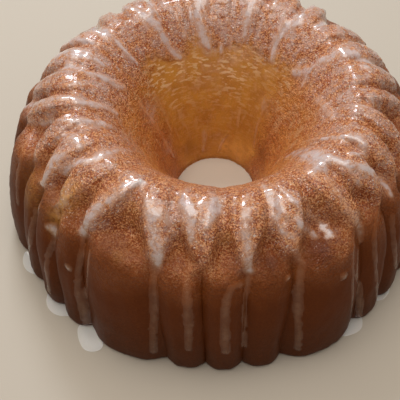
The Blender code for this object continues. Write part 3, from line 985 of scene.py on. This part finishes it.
# %% The funnel
FUNNEL_BLOTCHES = (0.3, 0.7)
DASH_WAVES, DASH_SQUEEZE, DASHES = 220.0, (1.0, 1.0, 3.2), (0.51, 0.60)
DASH_PATCH_WAVES, DASH_PATCHES = 45.0, (0.38, 0.58, 0.25, 1.0)
DASH_HEIGHTS = (0.030, 0.062, 0.12, 0.95)
FUNNEL_GRAIN = (0.45, 0.8, 0.0, 0.3)
MARK_WAVES, MARK_BEND, MARKS = 9.0, 0.35, (0.52, 0.66)
MARK_REACH, MARK_BLOTCHES = (0.062, 0.048, 0.0, 0.45), (0.40, 0.60)


def funnel_colour(recipe, where, grain, blotch):
    """Golden wall with pale dashes, painted highlights on torn crumb."""
    amber = recipe.mix(recipe.ramp(blotch, *FUNNEL_BLOTCHES), AMBER, DEEP_AMBER)
    flat = recipe.add("ShaderNodeVectorMath", operation="MULTIPLY", _0=recipe.place, _1=DASH_SQUEEZE)
    dashes = recipe.noise(DASH_WAVES, 3.0, place=flat.outputs[0])
    patches = recipe.ramp(recipe.noise(DASH_PATCH_WAVES, 2.0), *DASH_PATCHES)
    patches = recipe.times(patches, recipe.ramp(where.height, *DASH_HEIGHTS))
    amber = recipe.mix(recipe.times(recipe.ramp(dashes, *DASHES), patches), amber, TORN_CRUMB_HIGHLIGHT)
    return recipe.mix(recipe.ramp(grain, *FUNNEL_GRAIN), amber, PALE_CRUMB)


def run_marks(recipe, where, blotch):
    """Share of the faint marks that run down into the funnel."""
    round_x = recipe.math("DIVIDE", where.x, where.away)
    round_y = recipe.math("DIVIDE", where.y, where.away)
    down = recipe.times(where.z, MARK_WAVES)
    around = recipe.add("ShaderNodeCombineXYZ", X=round_x, Y=round_y, Z=down)
    marks = recipe.noise(MARK_WAVES, 3.0, warp=MARK_BEND, place=around.outputs[0])
    near = recipe.times(recipe.ramp(where.reach, *MARK_REACH), recipe.ramp(blotch, *MARK_BLOTCHES))
    return recipe.times(recipe.ramp(marks, *MARKS), near)


print("dashes: %.0f waves a metre" % DASH_WAVES)

# %% [markdown]
# Now the parts come together. Three stored values add what no rule gives: the darker places, partly darker
# baking and partly painted shade, the yellow batter and the film of dried glaze. Fine near-white specks are
# painted on top as painted glints, mostly where the film is.

# %% The whole crust's colour
BLOTCH_WAVES = 95.0
BATTER_WAVES, BATTER_BREAKS = 280.0, (0.38, 0.58, 0.35, 1.0)
FILM_WAVES, FILM_BREAKS = 230.0, (0.40, 0.58, 0.25, 1.25)
SPECK_WAVES, SPECKS = 1050.0, (0.62, 0.69)
SPECK_HEIGHTS, SPECKS_ON_FILM = (0.060, 0.076), (0.50, 0.85, 0.1, 0.9)


def painted_glint_specks(recipe, where, film, blotch):
    """Share of the fine near-white specks painted on the top as glints."""
    specks = recipe.ramp(recipe.noise(SPECK_WAVES, 1.0, 0.5), *SPECKS)
    specks = recipe.times(specks, recipe.ramp(where.height, *SPECK_HEIGHTS))
    return recipe.times(specks, recipe.ramp(recipe.math("ADD", film, blotch), *SPECKS_ON_FILM))


def crust_colour(recipe):
    """Colour of the crust anywhere on the cake, and how much it is side, funnel and film there."""
    where = crust_places(recipe)
    grain = crumb_grain(recipe)
    blotch = recipe.noise(BLOTCH_WAVES, 3.0, 0.55)
    top = top_colour(recipe, where, grain, blotch)
    colour = recipe.mix(where.side, top, side_colour_and_shade(recipe, where, grain))
    colour = recipe.mix(where.funnel, colour, funnel_colour(recipe, where, grain, blotch))
    colour = recipe.mix(run_marks(recipe, where, blotch), colour, RUN_MARK)
    # Darker baking and painted shade, from the stored value.
    colour = recipe.mix(recipe.attribute("browning_and_shade"), colour, DARK_BAKE_AND_SHADE, "MULTIPLY")
    batter = recipe.ramp(recipe.noise(BATTER_WAVES, 4.0, 0.6), *BATTER_BREAKS)
    batter = recipe.times(recipe.attribute("yellow"), batter)
    colour = recipe.mix(batter, colour, BATTER_YELLOW)
    film = recipe.ramp(recipe.noise(FILM_WAVES, 5.0, 0.6), *FILM_BREAKS)
    film = recipe.times(recipe.attribute("film"), film, clamp=True)
    colour = recipe.mix(film, colour, FILM_PINK)
    # Painted highlights: tiny near-white glints.
    colour = recipe.mix(painted_glint_specks(recipe, where, film, blotch), colour, PAINTED_GLINT)
    return colour, where.side, where.funnel, film


print("film: %.0f waves a metre" % FILM_WAVES)

# %% [markdown]
# The baked top is rough and lumpy under the light, and the side that met the tin is almost smooth and dull.
# The film is what shines, so the coat grows with it. Two bumps add what is too small to model.

# %% The crust's finish
CRUST_ROUGHNESS, CRUST_SPECULAR = (0.0, 0.4, 0.46, 0.30), (0.0, 1.0, 0.20, 0.07)
FILM_SHINE, SIDE_SHINE, FILM_COAT_ROUGHNESS = (0.05, 0.40, 0.08, 0.8), (0.0, 1.0, 1.0, 0.2), 0.14
CRUMB_GLOW, CRUMB_GLOW_RADIUS = 0.08, (0.004, 0.0015, 0.0006)
FINE_WAVES, FINE_BUMP = 900.0, (0.25, 1.0, 0.0011, 0.00007)
COARSE_WAVES, COARSE_BUMP = 330.0, (0.25, 1.0, 0.0014, 0.00012)


def crust_material():
    """Baked crust: speckled on top, dark and satin on the side, golden in the funnel."""
    recipe = Recipe("browned_crust")
    colour, on_side, in_funnel, film = crust_colour(recipe)
    shine = recipe.times(recipe.ramp(film, *FILM_SHINE), recipe.ramp(on_side, *SIDE_SHINE))
    smooth = recipe.math("MAXIMUM", on_side, in_funnel)
    fine = recipe.times(recipe.noise(FINE_WAVES, 3.0, 0.6), recipe.ramp(smooth, *FINE_BUMP))
    coarse = recipe.times(recipe.noise(COARSE_WAVES, 2.0, 0.5), recipe.ramp(smooth, *COARSE_BUMP))
    return recipe.finish(
        Base_Color=colour,
        Roughness=recipe.ramp(film, *CRUST_ROUGHNESS),
        Specular_IOR_Level=recipe.ramp(on_side, *CRUST_SPECULAR),
        Coat_Weight=shine,
        Coat_Roughness=FILM_COAT_ROUGHNESS,
        Subsurface_Weight=CRUMB_GLOW,
        Subsurface_Radius=CRUMB_GLOW_RADIUS,
        Normal=recipe.bump(recipe.math("ADD", fine, coarse)),
    )


crust.data.materials.append(crust_material())
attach(crust, "root")
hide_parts("cake")
print("crust finish:", crust.data.materials[0].name)

# %% [markdown]
# Some glaze ran off the cake and set in small puddles at the foot. Each starts as a flat outline on the
# floor, is extruded and inset by a little, and is rounded by a Subdivision Surface. Their inner edge goes
# under the rounding of the foot, so they hold to the cake. Their milkiness is well over 1, so no brown shows.

# %% Puddles at the foot
PUDDLES = {
    "puddle_left": [(24, 252), (29, 250), (35, 258), (41, 271), (39, 276), (31, 274), (25, 270), (22, 262)],
    "puddle_left_front": [(48, 290), (57, 291), (67, 298), (76, 305), (77, 315), (62, 318), (50, 313),
        (45, 303)],
    "puddle_front_left": [(76, 325), (88, 321), (98, 328), (104, 338), (104, 350), (93, 353), (83, 351),
        (78, 340)],
    "puddle_right_front": [(346, 310), (357, 304), (363, 318), (363, 330), (353, 335), (343, 338),
        (336, 333), (340, 320)],
    "puddle_right": [(380, 287), (388, 282), (391, 289), (387, 297), (381, 301), (376, 302), (374, 296)],
}
PUDDLE_RISE, PUDDLE_CROWN, PUDDLE_INSET = 0.0006, 0.0006, 0.0016
PUDDLE_ROUNDING = 3
PUDDLE_MILK = 3.4


def floor_spot(x, y):
    """Spot where the line of sight through a pixel meets the floor."""
    start, line = sight_line(x, y)
    return start - line * (start.z / line.z)


def puddle_piece(name, outline):
    """Low rounded puddle over an outline of pixels."""
    mesh = bpy.data.meshes.new(name)
    mesh.from_pydata([floor_spot(x, y) for x, y in outline], [], [list(range(len(outline)))])
    piece = new_piece(name, mesh)
    bpy.ops.object.mode_set(mode="EDIT")
    bpy.ops.mesh.select_all(action="SELECT")
    bpy.ops.mesh.extrude_region_move(TRANSFORM_OT_translate={"value": (0, 0, PUDDLE_RISE)})
    bpy.ops.mesh.inset(thickness=PUDDLE_INSET, depth=PUDDLE_CROWN)
    bpy.ops.mesh.select_all(action="SELECT")
    bpy.ops.mesh.normals_make_consistent(inside=False)
    bpy.ops.object.mode_set(mode="OBJECT")
    apply_modifier(piece, "SUBSURF", levels=PUDDLE_ROUNDING, render_levels=PUDDLE_ROUNDING)
    bpy.ops.object.shade_smooth()
    store(piece, "milkiness", [PUDDLE_MILK] * len(piece.data.vertices))
    return piece


puddles = [puddle_piece(name, outline) for name, outline in PUDDLES.items()]
for puddle in puddles:
    low = min(vertex.co.z for vertex in puddle.data.vertices)
    puddle.data.transform(Matrix.Translation((0, 0, -low)))
    print(puddle.name, "is %.1f mm high" % (1000 * puddle.dimensions.z))

# %% [markdown]
# Sugar glaze is clear where it is thin and milky where it is thick. The piece repeats the crust's own colour
# and mixes the glaze's white over it by the density that the strokes left, so a thin run lets the brown
# through and needs no transparency. A thin layer looks tan rather than white.

# %% The glaze's finish
PUDDLE_WHITE = srgb(246, 243, 238)
GLAZE_WHITE, GLAZE_TAN = srgb(218, 204, 203), srgb(206, 160, 122)
WISP_WAVES, WISPS = 300.0, (0.30, 0.62, 0.50, 1.2)
TAN_TO_WHITE, WHITE_TO_PUDDLE = (0.15, 0.60), (0.9, 1.0)
GLAZE_ROUGHNESS, GLAZE_COAT_ROUGHNESS = 0.2, 0.06
GLAZE_SPECULAR, GLAZE_COAT = (0.0, 0.4, 0.2, 0.5), (0.05, 0.4, 0.1, 0.9)
SUGAR_GLOW, SUGAR_GLOW_RADIUS = 0.1, (0.002, 0.0014, 0.001)
GLAZE_WAVES, GLAZE_BUMP = 500.0, 0.0001


def glaze_material():
    """Wet sugar glaze over the crust's colour."""
    recipe = Recipe("sugar_glaze")
    crust_under = crust_colour(recipe)[0]
    wisps = recipe.ramp(recipe.noise(WISP_WAVES, 4.0, 0.6), *WISPS)
    cover = recipe.times(recipe.attribute("milkiness"), wisps, clamp=True)
    sugar = recipe.mix(recipe.ramp(cover, *TAN_TO_WHITE), GLAZE_TAN, GLAZE_WHITE)
    sugar = recipe.mix(recipe.ramp(cover, *WHITE_TO_PUDDLE), sugar, PUDDLE_WHITE)
    relief = recipe.times(recipe.noise(GLAZE_WAVES, 2.0, 0.5), GLAZE_BUMP)
    return recipe.finish(
        Base_Color=recipe.mix(cover, crust_under, sugar),
        Roughness=GLAZE_ROUGHNESS,
        Specular_IOR_Level=recipe.ramp(cover, *GLAZE_SPECULAR),
        Coat_Weight=recipe.ramp(cover, *GLAZE_COAT),
        Coat_Roughness=GLAZE_COAT_ROUGHNESS,
        Subsurface_Weight=SUGAR_GLOW,
        Subsurface_Radius=SUGAR_GLOW_RADIUS,
        Normal=recipe.bump(relief),
    )


sugar_glaze = glaze_material()
for piece in [glaze] + puddles:
    piece.data.materials.append(sugar_glaze)
    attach(piece, "root")
print("pieces of glaze:", 1 + len(puddles))

# %% [markdown]
# Last, the dressed cake's box is set against the imported cake's, and how far it grew is printed.

new_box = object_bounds()
changes = [abs(a - b) for old, new in zip(cad_box, new_box) for a, b in zip(old, new)]
print("box grew by %.1f mm at most" % (1000 * max(changes)))
